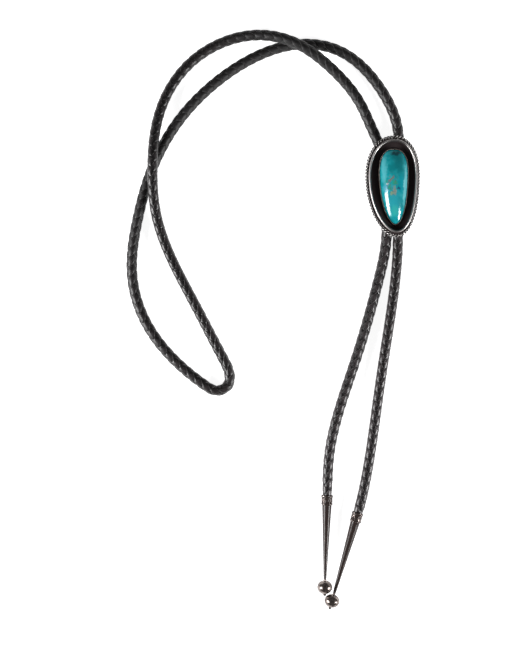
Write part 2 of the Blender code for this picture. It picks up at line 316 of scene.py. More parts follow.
sleeveInner = sizes["cordEndDiameter"] / 2 + sizes["pieceGap"]
sleeveOuter = sleeveInner + sizes["collarWall"]
mouthRadius = sleeveOuter + sizes["collarRing"]
socketDepth = sizes["socketShare"] * sizes["collarLength"]
cordInSocket = socketDepth - sizes["pieceGap"]

tipPlaces = {
    "left_tip": {"mouth": (-0.0329, -0.1568), "heading": -1.5},
    "right_tip": {"mouth": (-0.0172, -0.1657), "heading": -16.5},
}


def tipAxis(name):
    # The way a tip points, raised so that both its collar and its ball touch the floor.
    angle = np.radians(tipPlaces[name]["heading"])
    rise = (sizes["ballDiameter"] / 2 - mouthRadius) / sizes["tipLength"]
    level = np.sqrt(1 - rise**2)
    mouth = np.array([*tipPlaces[name]["mouth"], mouthRadius])
    return mouth, np.array([np.sin(angle) * level, -np.cos(angle) * level, rise])


# Braided cord. Its route's rows hold x, y and rise, the share of a crossing's height: 1 where the cord passes
# over its other strand.

leftTail = (
    (-0.0319, -0.1370, 0),
    (-0.0282, -0.1186, 0),
    (-0.0184, -0.0880, 0),
    (-0.0067, -0.0472, 0),
    (-0.0028, -0.0270, 0),
)
neckLoop = (
    (-0.0101, 0.0300, 0),
    (-0.0161, 0.0429, 0),
    (-0.0316, 0.0609, 0.45),
    (-0.0493, 0.0726, 1),
    (-0.0671, 0.0771, 0.5),
    (-0.0875, 0.0733, 0),
    (-0.1079, 0.0578, 0),
    (-0.1188, 0.0355, 0.4),
    (-0.1215, 0.0115, 1),
    (-0.1195, -0.0155, 0.35),
    (-0.1015, -0.0574, 0),
    (-0.0858, -0.0874, 0),
    (-0.0828, -0.0946, 0),
    (-0.0834, -0.1006, 0),
    (-0.0886, -0.1036, 0),
    (-0.0954, -0.1007, 0),
    (-0.1054, -0.0929, 0),
    (-0.1246, -0.0700, 0),
    (-0.1322, -0.0460, 0),
    (-0.1296, -0.0166, 0),
    (-0.1213, 0.0115, 0),
    (-0.1076, 0.0352, 0),
    (-0.0875, 0.0552, 0),
    (-0.0671, 0.0676, 0),
    (-0.0467, 0.0730, 0),
    (-0.0263, 0.0694, 0),
    (-0.0062, 0.0510, 0),
    (0.0033, 0.0285, 0),
)
rightTail = (
    (0.0032, -0.0270, 0),
    (0.0006, -0.0574, 0),
    (-0.0056, -0.0982, 0),
    (-0.0122, -0.1435, 0),
)


def alongOf(line):
    return np.concatenate([[0.0], np.cumsum(np.linalg.norm(np.diff(line, axis=0), axis=1))])


def readAt(places, along, values):
    return np.stack([np.interp(places, along, values[:, k]) for k in range(values.shape[1])], axis=1)


def smoothLine(points, step=0.0005):
    # The natural cubic spline through the points over their chord lengths; its bends solve one linear system.
    points = np.array(points, float)
    chord = np.linalg.norm(np.diff(points, axis=0), axis=1)
    knots = np.concatenate([[0.0], np.cumsum(chord)])
    count = len(points)
    system = np.diag(np.concatenate([[1.0], 2 * (chord[:-1] + chord[1:]), [1.0]]))
    system += np.diag(np.concatenate([[0.0], chord[1:]]), 1)
    system += np.diag(np.concatenate([chord[:-1], [0.0]]), -1)
    right = np.zeros((count, 3))
    right[1:-1] = 6 * np.diff(np.diff(points, axis=0) / chord[:, None], axis=0)
    bend = np.linalg.solve(system, right)
    at = np.linspace(0.0, knots[-1], int(knots[-1] / step) + 1)
    span = np.clip(np.searchsorted(knots, at, side="right") - 1, 0, count - 2)
    width = chord[span][:, None]
    before = (knots[span + 1] - at)[:, None]
    after = (at - knots[span])[:, None]
    curved = (bend[span] * before**3 + bend[span + 1] * after**3) / (6 * width)
    start = (points[span] / width - bend[span] * width / 6) * before
    end = (points[span + 1] / width - bend[span + 1] * width / 6) * after
    return curved + start + end


def cordLine():
    rest = sizes["cordDiameter"] / 2
    crossing = braid["outerDiameter"] + sizes["pieceGap"]

    def lifted(rows):
        return [(x, y, rest + rise * crossing) for x, y, rise in rows]

    def inClasp(side, way):
        half = sizes["claspLength"] / 2
        return [(side * strandOffset, way * y, claspMiddle) for y in (-half, 0.0, half)]

    leftMouth, leftAxis = tipAxis("left_tip")
    rightMouth, rightAxis = tipAxis("right_tip")
    route = [leftMouth + cordInSocket * leftAxis, leftMouth - sizes["mouthLead"] * leftAxis]
    route += lifted(leftTail) + inClasp(-1, 1) + lifted(neckLoop) + inClasp(1, -1) + lifted(rightTail)
    route += [rightMouth - sizes["mouthLead"] * rightAxis, rightMouth + cordInSocket * rightAxis]
    line = smoothLine(route)
    line[:, 2] = np.maximum(line[:, 2], rest)
    return line


braid = {
    "outerDiameter": 0.0056,  # over the laces that stand out most
    "laceWidth": 0.0035,
    "laceThickness": 0.00048,
    "swing": 0.00015,  # how far a lace rises and sinks as it goes over and under
    "pitch": 0.0098,  # one turn of a lace round the cord
    "lieFlat": 0.6,  # how much slower a lace turns where it shows
    "samplesPerTurn": 20,
    "outerSides": 7,
    "archPower": 0.6,  # under 1 makes a lace's arch flatter on top and rounder at its edges
    "innerAcross": (0.55, 0.0, -0.55),
    "pinchLengths": (0.008, 0.003),  # before the left and the right tip
    "claspSqueeze": 0.96,
    "squeezeReach": (0.004, 0.008),  # the squeeze fades between these distances from the clasp's middle line
    "coreDiameter": 0.0038,
    "coreSides": 8,
    "coarseStep": 4,  # the core and the stated path take every fourth sample
    "rollDegrees": (  # the braid's own slow turn, by share of the cord's length
        (0.00, 35.0),
        (0.10, 8.0),
        (0.20, 0.0),
        (0.28, -20.0),
        (0.33, -45.0),
        (0.43, -45.0),
        (0.50, -15.0),
        (0.60, 0.0),
        (0.76, 5.0),
        (0.84, -20.0),
        (0.88, -45.0),
        (1.00, -45.0),
    ),
    "wearAndShade": (  # how rubbed the leather is, by share of the cord's length: real wear, most on the tails; along the neck loop it is painted light and shade, by how the side lamps fall on each run
        (0.00, 1.00),
        (0.13, 0.90),
        (0.19, 0.20),
        (0.26, 0.00),
        (0.31, 0.40),
        (0.40, 0.50),
        (0.50, 0.45),
        (0.57, 0.28),
        (0.67, 0.00),
        (0.77, 0.08),
        (0.83, 0.85),
        (1.00, 1.00),
    ),
}


def laceSection():
    # Across and height of a strip: its outer face is a rounded arch, its inner face is flat.
    turn = np.linspace(-np.pi / 2, np.pi / 2, braid["outerSides"])
    arch = np.stack([np.sin(turn), np.cos(turn) ** braid["archPower"]], axis=1)
    inner = np.array([(across, -1.0) for across in braid["innerAcross"]])
    section = np.concatenate([arch, inner])
    return section[:, 0] * braid["laceWidth"] / 2, section[:, 1] * braid["laceThickness"] / 2


def makeCord():
    # Two laces turn to the right and two to the left. Each one's distance from the middle line swings with
    # the cosine of twice its turn, so that right-hand laces are over where left-hand ones are under. A lace's
    # rows lie square to it on the cylinder that it winds round.
    line = cordLine()
    along = alongOf(line)
    length = along[-1]
    at = np.linspace(0.0, length, int(length / braid["pitch"] * braid["samplesPerTurn"]))
    place = readAt(at, along, line)
    way = unit(np.gradient(place, at, axis=0))
    side = unit(np.cross(way, upward))
    up = np.cross(side, way)
    narrow = sizes["cordEndDiameter"] / sizes["cordDiameter"]
    fromEnd = np.stack([at, length - at]) - cordInSocket
    reached = np.clip(fromEnd / np.array(braid["pinchLengths"])[:, None], 0.0, 1.0).min(axis=0)
    fromClasp = np.hypot(place[:, 0], np.maximum(np.abs(place[:, 1]) - sizes["claspLength"] / 2, 0.0))
    squeeze = 1 - smoothStep(*braid["squeezeReach"], fromClasp)
    slim = (narrow + (1 - narrow) * reached) * (1 - (1 - braid["claspSqueeze"]) * squeeze)
    lift = (braid["outerDiameter"] - sizes["cordDiameter"]) / 2 * reached * (1 - squeeze)
    place = place + lift[:, None] * upward
    roll = np.radians(np.interp(at / length, *np.array(braid["rollDegrees"]).T))
    # Real wear on the tails; painted light and shade along the neck loop.
    wearAndShade = np.interp(at / length, *np.array(braid["wearAndShade"]).T)
    turn = 2 * np.pi * at / braid["pitch"]
    middle = braid["outerDiameter"] / 2 - braid["laceThickness"] / 2 - braid["swing"]
    across, height = laceSection()

    def onCord(reached, angle, radius):
        # Points at a distance along the cord, an angle round it from its upper side, and a radius.
        flat = reached.ravel()
        frame = [readAt(flat, at, values).reshape(*reached.shape, 3) for values in (place, side, up)]
        slimmer = np.interp(reached, at, slim) * radius
        spoke = np.cos(angle)[..., None] * frame[2] + np.sin(angle)[..., None] * frame[1]
        return frame[0] + slimmer[..., None] * spoke

    grids = []
    lifts = []
    edges = []
    wearAndShadeRows = []
    for hand in (1, -1):
        over = hand * np.cos(2 * turn)
        for start in (0.0, np.pi):
            angle = hand * turn - 0.5 * braid["lieFlat"] * np.sin(2 * turn) + start + roll
            slope = middle * np.gradient(angle, at)
            lean = np.sqrt(1 + slope**2)
            reached = np.clip(at[:, None] - (slope / lean)[:, None] * across, 0.0, length)
            turned = angle[:, None] + across / (middle * lean[:, None])
            radius = middle + braid["swing"] * over[:, None] + height
            grids.append(onCord(reached, turned, radius))
            lifts.append(np.repeat(over, len(across)))
            wearAndShadeRows.append(np.repeat(wearAndShade, len(across)))
            edges.append(np.broadcast_to(np.abs(across) / across.max(), reached.shape))
    coreAt = np.repeat(at[:: braid["coarseStep"], None], braid["coreSides"], axis=1)
    coreTurn = np.linspace(0.0, 2 * np.pi, braid["coreSides"], endpoint=False) + 0.0 * coreAt
    grids.append(onCord(coreAt, coreTurn, np.full(coreAt.shape, braid["coreDiameter"] / 2)))
    # The core takes the lowest over value, so it gets the painted shade.
    lifts.append(np.full(coreAt.shape, -1.0))
    edges.append(np.zeros(coreAt.shape))
    wearAndShadeRows.append(np.zeros(coreAt.shape))
    return place, length, grids, {"over": lifts, "edge": edges, "wearAndShade": wearAndShadeRows}


# A worn value is real wear on the tails and painted light on the neck loop; a fresh value there is painted
# shade.
leather = {  # each colour and the roughness have a fresh and a worn value
    # Painted shade: the darkest tone, where a lace dives under another and on the core.
    "underShade": ((0.0012, 0.0010, 0.0010), (0.0080, 0.0066, 0.0070)),
    "face": ((0.0022, 0.0018, 0.0020), (0.0350, 0.0286, 0.0300)),
    "rubbed": ((0.0090, 0.0076, 0.0080), (0.0850, 0.0735, 0.0760)),
    "cutEdge": ((0.0700, 0.0640, 0.0650), (0.2400, 0.2250, 0.2270)),
    "roughness": (0.56, 0.31),
    "specular": 0.45,
    "rubbingScale": 700.0,
    "scuffScale": 1900.0,
    "grainScale": 5200.0,
    "rubbedRange": (0.48, 0.72),  # of the rubbing noise
    "edgeRange": (0.82, 0.97),  # across half a lace
    "brokenRange": (0.38, 0.58, 0.2, 1.0),  # how the rubbing noise breaks the light edge lines
    "scuffRange": (0.60, 0.70, 0.0, 0.35),
    "grainBump": (0.00005, 0.5),
}


def leatherMaterial():
    # Black leather: painted shade makes it darkest where a lace dives under; it is greyer where it is rubbed
    # and along its cut edges. It is worn grey and shiny on the tails; along the neck loop the same mark is
    # painted light on the runs that face the side lamps and painted shade on its top runs.
    material, tree, shader = newMaterial("black_braided_leather")
    place = objectCoordinates(tree)
    worn = noise(tree, place, leather["rubbingScale"], 4.0, 0.6)
    grain = noise(tree, place, leather["grainScale"], 3.0, 0.6)
    over = mark(tree, "over")
    wearAndShade = mark(tree, "wearAndShade")

    # Each tone goes from fresh to worn with the mark: real wear on the tails, painted light and shade along
    # the neck loop.
    def tone(part):
        return mixColor(tree, wearAndShade, *leather[part])

    # Painted shade: the under tone where a lace passes beneath another.
    color = mixColor(tree, mapRange(tree, over, -0.2, 0.7), tone("underShade"), tone("face"))
    high = mapRange(tree, over, 0.0, 1.0, 0.0, 0.8)
    rubbed = math(tree, "MULTIPLY", mapRange(tree, worn, *leather["rubbedRange"]), high)
    color = mixColor(tree, rubbed, color, tone("rubbed"))
    cut = mapRange(tree, mark(tree, "edge"), *leather["edgeRange"])
    shown = mapRange(tree, over, -0.4, 0.4, 0.0, 0.75)
    shown = math(tree, "MULTIPLY", shown, mapRange(tree, worn, *leather["brokenRange"]))
    lines = math(tree, "MULTIPLY", cut, shown)
    color = mixColor(tree, lines, color, tone("cutEdge"))
    scuffs = noise(tree, place, leather["scuffScale"], 2.0, 0.5)
    scuffs = mapRange(tree, scuffs, *leather["scuffRange"])
    color = mixColor(tree, scuffs, color, tone("cutEdge"))
    tree.links.new(color, shader.inputs["Base Color"])
    base = mapRange(tree, wearAndShade, 0.0, 0.5, *leather["roughness"])
    rough = math(tree, "ADD", base, mapRange(tree, worn, 0.3, 0.75, -0.05, 0.07))
    tree.links.new(rough, shader.inputs["Roughness"])
    shader.inputs["Specular IOR Level"].default_value = leather["specular"]
    bump(tree, shader, grain, *leather["grainBump"])
    return material


cordPlaces, cordLength, laceGrids, laceMarks = makeCord()
cord = makePiece("braided_leather_laces", laceGrids, laceMarks)
dress(cord, leatherMaterial(), "black_leather", "braided_cord")
print("cord is", round(float(cordLength), 4), "m long")


# Outlines of the slide and its stone

slideShape = {
    "width": 0.0270,
    "length": 0.0507,
    "wideAt": 0.40,
    "powers": (2.2, 2.0),
    "drift": (0.025, 0.075),  # in shares of the width
    "centre": (0.0, 0.00005),
}
stoneShape = {
    "width": 0.0139,
    "length": 0.0374,
    "wideAt": 0.31,
    "powers": (2.4, 1.95),
    "drift": (0.0, 0.06),
    "centre": (0.00045, -0.0003),
}


def egg(shape, count, grow=0.0, growEnds=0.0):
    # Across goes with the cosine of the turn and rise with its sine, each to a power; the lengths over and
    # under the widest line differ, and the middle line leans with the square of the rise.
    width = shape["width"] + 2 * grow
    length = shape["length"] + 2 * (grow + growEnds)
    turn = np.linspace(0.0, 2 * np.pi, count, endpoint=False)
    above = np.sin(turn) > 0
    power = np.where(above, *shape["powers"])
    tall = np.where(above, shape["wideAt"], 1 - shape["wideAt"]) * length
    across = np.sign(np.cos(turn)) * np.abs(np.cos(turn)) ** (2 / power)
    rise = np.sign(np.sin(turn)) * np.abs(np.sin(turn)) ** (2 / power)
    lean = np.where(above, *shape["drift"]) * shape["width"] * rise**2
    x = shape["centre"][0] + lean + across * width / 2
    y = shape["centre"][1] + length * (0.5 - shape["wideAt"]) + rise * tall
    return np.stack([x, y], axis=1)


def evenly(outline, count):
    # The same closed outline in equal steps, and its outward normals.
    closed = np.vstack([outline, outline[:1]])
    along = alongOf(closed)
    line = readAt(np.linspace(0.0, along[-1], count, endpoint=False), along, closed)
    tangent = unit(np.roll(line, -1, axis=0) - np.roll(line, 1, axis=0))
    return line, np.stack([tangent[:, 1], -tangent[:, 0]], axis=1)


def sweptWall(line, outward, profile):
    # A profile of rows (inset, height), or one such profile for each place, carried round the outline.
    profile = np.broadcast_to(profile, (len(line), *np.shape(profile)[-2:]))
    flat = line[:, None] - profile[..., :1] * outward[:, None]
    return np.concatenate([flat, profile[..., 1:]], axis=2)


fineOutline = {
    "slide": egg(slideShape, 2880),
    "rim": egg(slideShape, 2880, -sizes["rimInset"], -sizes["rimEndInset"]),
}


# Old silver

silver = {
    "fineScale": 6000.0,
    "dullRange": (0.45, 0.70),  # of the fine noise
    "colorRange": (0.25, 0.80),  # of the polish
    "metalRange": (0.10, 0.50),
    "specular": 0.22,
    "bump": (0.000025, 0.5),
}


def silverMaterial(name, tones):
    # Silver is polished where the mark polish is 1 and blackened where it is 0. Clouds shift the mark, and
    # leave dull patches on what is polished.
    material, tree, shader = newMaterial(name)
    place = objectCoordinates(tree)
    cloud = noise(tree, place, tones["cloudSize"], 4.0, 0.6)
    fine = noise(tree, place, silver["fineScale"], 3.0, 0.6)
    shift = mapRange(tree, cloud, 0.3, 0.7, -tones["clouding"], tones["clouding"])
    polish = math(tree, "ADD", mark(tree, "polish"), shift)
    shiny = mixColor(tree, mapRange(tree, fine, *silver["dullRange"]), tones["bright"], tones["dull"])
    color = mixColor(tree, mapRange(tree, polish, *silver["colorRange"]), tones["black"], shiny)
    tree.links.new(color, shader.inputs["Base Color"])
    scuffs = mapRange(tree, fine, 0.4, 0.75, 0.0, 0.12)
    # Roughness follows the polish mark, which on the rim's ends also holds painted shade.
    wearAndShade = mapRange(tree, polish, 0.2, 0.8, tones["roughBlack"], tones["roughBright"])
    tree.links.new(math(tree, "ADD", wearAndShade, scuffs), shader.inputs["Roughness"])
    tree.links.new(mapRange(tree, polish, *silver["metalRange"]), shader.inputs["Metallic"])
    shader.inputs["Specular IOR Level"].default_value = silver["specular"]
    relief = math(tree, "ADD", fine, math(tree, "MULTIPLY", cloud, 3.0))
    bump(tree, shader, relief, *silver["bump"])
    return material


# Twisted-wire border

border = {
    "inset": 0.00040,  # of the rope's middle line from the slide's outline
    "height": 0.00075,  # of the rope's middle line over the plate's underside
    "wireRadius": 0.00038,
    "wireTwist": 0.00048,  # from the rope's middle line to a wire's
    "turns": 38,
    "samplesPerTurn": 30,
    "wireSides": 12,
    "wornFrom": (0.85, 0.95),  # of the way from the rope's middle line to its outside
}


def makeBorder():
    # Two wires turn about one line, half a turn apart: a wire's middle goes out with the cosine of its turn
    # and up with the sine. It is worn bright on the side away from the other wire.
    twist = border["wireTwist"]
    count = border["turns"] * border["samplesPerTurn"]
    line, outward = evenly(fineOutline["slide"], count)
    outward = np.column_stack([outward, np.zeros(count)])
    centre = np.column_stack([line, np.full(count, plateBottom + border["height"])])
    centre -= border["inset"] * outward
    turn = 2 * np.pi * np.arange(count)[:, None] / border["samplesPerTurn"]
    around = np.linspace(0.0, 2 * np.pi, border["wireSides"], endpoint=False)[:, None]
    grids = []
    polish = []
    for start in (0.0, np.pi):
        middle = centre + twist * (np.cos(turn + start) * outward + np.sin(turn + start) * upward)
        way = unit(np.roll(middle, -1, axis=0) - np.roll(middle, 1, axis=0))
        flank = unit(np.cross(way, upward))
        face = np.cross(flank, way)
        ring = np.cos(around) * flank[:, None] + np.sin(around) * face[:, None]
        grids.append(middle[:, None] + border["wireRadius"] * ring)
        reach = np.linalg.norm(grids[-1] - centre[:, None], axis=2) / (twist + border["wireRadius"])
        polish.append(smoothStep(*border["wornFrom"], reach))
    return makePiece("twisted_wire_border", grids, {"polish": polish}, alongClosed=True, capped=False)


# Standing rim

rim = {
    "crownHeight": 0.00090,
    "crownSamples": 18,
    "footSink": 0.0001,
    "innerLean": 0.00015,
    "innerRows": 6,
    "outerRows": 5,
    "footBlack": 0.0015,  # height over which the outer side's foot is blackened
    "outerShine": 0.75,
    "crownBlackFrom": 0.72,  # of the way over the crown
    # How much painted shade cuts the rim's polish where it faces the slide's two ends.
    "endShade": 0.45,
    "samples": 540,
}


def makeRim():
    # A strip bent round the slide, with a crown that is half an oval. It is black inside and bright on the
    # crown; at the slide's two ends painted shade cuts the polish, by how far its outward way turns to them.
    half = sizes["rimWidth"] / 2
    crownFoot = rimTop - rim["crownHeight"]
    turn = np.linspace(0.0, np.pi, rim["crownSamples"])
    crown = np.stack([half * (1 - np.cos(turn)), crownFoot + rim["crownHeight"] * np.sin(turn)], axis=1)
    foot = plateTop - rim["footSink"]
    down = np.linspace(crownFoot, foot, rim["innerRows"])[1:]
    lean = rim["innerLean"] * (crownFoot - down) / (crownFoot - foot)
    inner = np.stack([2 * half + lean, down], axis=1)
    rising = np.linspace(foot, crownFoot, rim["outerRows"])[:-1]
    outer = np.stack([np.zeros(len(rising)), rising], axis=1)
    profile = np.concatenate([outer, crown, inner])
    outerPolish = smoothStep(plateTop, plateTop + rim["footBlack"], rising) * rim["outerShine"]
    crownPolish = 1 - smoothStep(rim["crownBlackFrom"] * np.pi, 1.0 * np.pi, turn)
    polish = np.concatenate([outerPolish, crownPolish, np.zeros(len(inner))])
    line, outward = evenly(fineOutline["rim"], rim["samples"])
    grid = sweptWall(line, outward, profile)
    # Painted shade: the polish falls by how far the rim's outward way turns to the slide's ends.
    ends = np.abs(outward[:, 1:]) ** 2
    marks = {"polish": [polish * (1 - rim["endShade"] * ends)]}
    return makePiece("standing_rim", [grid], marks, alongClosed=True, capped=False)


# Back plate, blackened in the recess

plate = {
    "edgeInset": 0.0008,
    "samples": 240,
    "rings": (0.02, 0.5, 0.8, 1.0),
    "undersideShine": 0.8,
}


def makePlate():
    # Rings grow from the middle to the edge below, and shrink back again above.
    line, outward = evenly(fineOutline["slide"], plate["samples"])
    edge = line - plate["edgeInset"] * outward
    middle = edge.mean(axis=0)
    rows = []
    for height, shares in ((plateBottom, plate["rings"]), (plateTop, plate["rings"][::-1])):
        for share in shares:
            rows.append(np.column_stack([middle + share * (edge - middle), np.full(len(edge), height)]))
    grid = np.stack(rows)
    polish = np.zeros(grid.shape[:2])
    polish[: len(plate["rings"])] = plate["undersideShine"]
    return makePiece("recess_plate", [grid], {"polish": [polish]}, sharp=40)


# Toothed bezel

bezel = {
    "teeth": 142,
    "samplesPerTooth": 6,
    "toothDepth": 0.00038,
    "clearance": 0.00028,  # beside the stone's straight side
    "lean": 0.00024,  # how far the teeth bend in over the stone
    "footSink": 0.0001,
    "neckDrop": 0.0002,  # from the notches to the line where the teeth start to lean
    "crest": ((0.25, 0.00004), (0.5, 0.0), (0.8, 0.00005)),  # share of the wall, and drop from the top
    "polish": (0.0, 0.1, 0.6, 1.0, 1.0, 1.0, 0.2, 0.0),  # up the outer side, over the crest and down inside
    "notchDulling": 0.35,
}


def makeBezel():
    # The wall's top falls between the teeth with a triangle wave, and each tooth leans in as it rises.
    count = bezel["teeth"] * bezel["samplesPerTooth"]
    line, outward = evenly(egg(stoneShape, 2880, bezel["clearance"] + sizes["bezelWall"]), count)
    wave = np.abs((np.arange(count) / bezel["samplesPerTooth"]) % 1.0 - 0.5) * 2
    top = bezelTop - bezel["toothDepth"] * wave
    foot = np.full(count, plateTop - bezel["footSink"])
    wall = sizes["bezelWall"]
    neck = bezelTop - bezel["toothDepth"] - bezel["neckDrop"]
    lean = bezel["lean"] * (top - neck) / (bezelTop - neck)
    level = np.zeros(count)
    outer = [(level, foot), (level, 0.5 * (foot + neck)), (level, level + neck)]
    crest = [(share * wall + lean, top - drop) for share, drop in bezel["crest"]]
    inner = [(level + wall, level + neck), (level + wall, foot)]
    profile = np.stack([np.stack(row, axis=1) for row in outer + crest + inner], axis=1)
    polish = np.array(bezel["polish"]) * (1.0 - bezel["notchDulling"] * wave[:, None])
    grid = sweptWall(line, outward, profile)
    marks = {"polish": [polish]}
    return makePiece("toothed_bezel", [grid], marks, alongClosed=True, capped=False, sharp=50)


settingTones = {
    "bright": (0.52, 0.50, 0.49),
    "dull": (0.32, 0.29, 0.28),
    "black": (0.034, 0.026, 0.027),
    "cloudSize": 900.0,
    "clouding": 0.12,
    "roughBlack": 0.42,
    "roughBright": 0.30,
}
settingChanges = (  # what differs on each piece of the setting
    (makeBorder, {"black": (0.006, 0.005, 0.005), "roughBlack": 0.60, "clouding": 0.05}),
    (makeRim, {}),
    (makePlate, {"black": (0.038, 0.028, 0.029)}),
    (makeBezel, {"bright": (0.62, 0.57, 0.53), "dull": (0.34, 0.27, 0.23), "roughBright": 0.42}),
)
for make, changes in settingChanges:
    made = make()
    metal = silverMaterial(made.name + "_silver", {**settingTones, **changes})
    dress(made, metal, "oxidised_silver", "shadow_box_setting")


# Turquoise

stone = {
    "samples": 144,
    "domeRows": 44,
    "domePower": 1.5,
    "edgeRounding": 0.00015,
    "footShare": 0.97,  # of the width, at the rounded foot
    "poleShare": 0.015,
}


def makeStone():
    # Under the girdle the side is straight; over it the height goes with the sine of an angle to a power and
    # the width with its cosine.
    line = egg(stoneShape, stone["samples"])
    middle = line.mean(axis=0)
    girdle = bezelTop - sizes["girdleBelowBezel"]
    dome = stoneBottom + sizes["stoneHeight"] - girdle
    angle = np.linspace(0.0, np.arccos(stone["poleShare"]), stone["domeRows"])
    shares = np.concatenate([[stone["poleShare"], stone["footShare"], 1.0], np.cos(angle)])
    low = [stoneBottom, stoneBottom, stoneBottom + stone["edgeRounding"]]
    heights = np.concatenate([low, girdle + dome * np.sin(angle) ** stone["domePower"]])
    flat = middle + shares[:, None, None] * (line - middle)
    level = np.broadcast_to(heights[:, None, None], (*flat.shape[:2], 1))
    grid = np.concatenate([flat, level], axis=2)
    return makePiece("turquoise_dome", [grid])


# Patches on the stone, most of them its own colours and three of them painted reflections: place and size in
# millimetres, turn in degrees, colour and strength.
stonePatchesAndReflections = (
    ((2.6, 11.0), (6.0, 13.0), 5.0, (0.001, 0.190, 0.215), 0.85),
    # Painted reflection: a pale band of light along the stone's steep left side.
    ((-4.6, 8.5), (3.0, 15.0), 0.0, (0.100, 0.520, 0.580), 0.75),
    ((-1.2, 8.5), (3.0, 5.0), 20.0, (0.000, 0.220, 0.245), 0.6),
    ((4.0, 0.5), (4.5, 10.0), 0.0, (0.000, 0.300, 0.370), 0.9),
    # Painted reflection: a pale band of light along the stone's steep right side.
    ((6.0, 0.5), (1.7, 25.0), -4.0, (0.210, 0.680, 0.730), 0.7),
    # Painted reflection: the rim's dark arc mirrored near the stone's top.
    ((1.5, 16.4), (6.0, 2.2), 4.0, (0.002, 0.055, 0.070), 0.9),
    ((0.6, -7.5), (6.5, 14.0), 5.0, (0.022, 0.330, 0.400), 0.8),
    ((0.8, -12.5), (4.0, 6.0), 0.0, (0.035, 0.410, 0.370), 0.7),
    ((-3.4, -1.2), (3.2, 5.5), 0.0, (0.075, 0.400, 0.560), 0.7),
    ((-3.6, 2.2), (1.5, 1.7), 0.0, (0.010, 0.330, 0.230), 0.9),
    ((0.6, 1.6), (3.0, 2.6), 15.0, (0.020, 0.360, 0.230), 0.9),
    ((-1.8, -1.2), (2.0, 3.0), 10.0, (0.010, 0.340, 0.230), 0.9),
    ((-1.2, 3.3), (1.6, 4.6), -38.0, (0.190, 0.175, 0.160), 0.95),
    ((0.6, -2.6), (1.9, 5.2), 8.0, (0.230, 0.270, 0.235), 0.9),
    ((-0.6, -4.0), (2.2, 2.0), 0.0, (0.260, 0.330, 0.170), 0.75),
    ((-3.3, 0.9), (1.4, 1.2), 0.0, (0.550, 0.620, 0.600), 0.8),
    ((2.9, -1.5), (2.0, 1.5), 0.0, (0.003, 0.070, 0.170), 0.8),
)
turquoise = {
    "cloudScale": 260.0,
    "cloudStops": (
        (0.30, (0.001, 0.235, 0.265)),
        (0.50, (0.003, 0.320, 0.365)),
        (0.72, (0.040, 0.440, 0.485)),
    ),
    "wanderScale": 420.0,
    "wander": 0.0030,  # how far the patches' outlines stray, in metres for each unit of noise
    "patchEdge": (1.15, 0.55),  # in half widths, where a patch starts and where it is full
    "speckScale": 2600.0,
    "speckRange": (0.62, 0.78, 0.0, 0.5),
    "speckColor": (0.10, 0.45, 0.42),
    "veinScale": 520.0,
    "veinRange": (0.028, 0.010),
    "veinStrength": 0.7,
    "veinPatch": ((-0.9, 0.2), (8.0, 13.0), 0.0),
    "veinColor": (0.110, 0.100, 0.080),
    "roughness": (0.10, 0.18),
    "specular": 0.6,
    "coat": 0.4,
    "coatRoughness": 0.06,
    "bump": (0.00002, 0.25),
}


def patchMask(tree, place, centre, size, turn):
    # 1 inside an oval and 0 outside it, with a soft edge: the distance from its centre in half widths.
    radians = np.radians(turn)
    location = (-centre[0] / 1000, -centre[1] / 1000, 0.0)
    moved = vectorMath(tree, "ADD", in0=place, in1=location)
    turned = node(tree, "ShaderNodeVectorRotate", {"rotation_type": "Z_AXIS"}, Vector=moved, Angle=-radians)
    scale = (2000 / size[0], 2000 / size[1], 0.0)
    scaled = vectorMath(tree, "MULTIPLY", in0=turned.outputs[0], in1=scale)
    distance = node(tree, "ShaderNodeVectorMath", {"operation": "LENGTH"}, in0=scaled)
    return mapRange(tree, distance.outputs["Value"], *turquoise["patchEdge"])


def turquoiseMaterial():
    material, tree, shader = newMaterial("turquoise_matrix_and_painted_reflections")
    place = objectCoordinates(tree)
    cloud = noise(tree, place, turquoise["cloudScale"], 5.0, 0.6)
    scale = turquoise["wanderScale"]
    wander = node(tree, "ShaderNodeTexNoise", Vector=place, Scale=scale, Detail=4.0, Roughness=0.6)
    wander = vectorMath(tree, "SUBTRACT", in0=wander.outputs["Color"], in1=(0.5, 0.5, 0.5))
    wander = vectorMath(tree, "SCALE", in0=wander, Scale=turquoise["wander"])
    bent = vectorMath(tree, "ADD", in0=place, in1=wander)
    color = ramp(tree, cloud, *turquoise["cloudStops"])
    # The stone's own colour patches and the three painted reflections.
    for centre, size, turn, tone, strength in stonePatchesAndReflections:
        mask = math(tree, "MULTIPLY", patchMask(tree, bent, centre, size, turn), strength)
        color = mixColor(tree, mask, color, tone)
    fine = noise(tree, place, turquoise["speckScale"], 4.0, 0.7)
    specks = mapRange(tree, fine, *turquoise["speckRange"])
    color = mixColor(tree, specks, color, turquoise["speckColor"])
    ridge = math(tree, "SUBTRACT", noise(tree, bent, turquoise["veinScale"], 3.0, 0.55), 0.5)
    thin = mapRange(tree, math(tree, "ABSOLUTE", ridge), *turquoise["veinRange"])
    veined = math(tree, "MULTIPLY", patchMask(tree, place, *turquoise["veinPatch"]), thin)
    veined = math(tree, "MULTIPLY", veined, turquoise["veinStrength"])
    color = mixColor(tree, veined, color, turquoise["veinColor"])
    tree.links.new(color, shader.inputs["Base Color"])
    rough = mapRange(tree, fine, 0.3, 0.8, *turquoise["roughness"])
    tree.links.new(rough, shader.inputs["Roughness"])
    shader.inputs["Specular IOR Level"].default_value = turquoise["specular"]
    shader.inputs["Coat Weight"].default_value = turquoise["coat"]
    shader.inputs["Coat Roughness"].default_value = turquoise["coatRoughness"]
    bump(tree, shader, fine, *turquoise["bump"])
    return material


dress(makeStone(), turquoiseMaterial(), "turquoise", "turquoise_cabochon")


# Tips

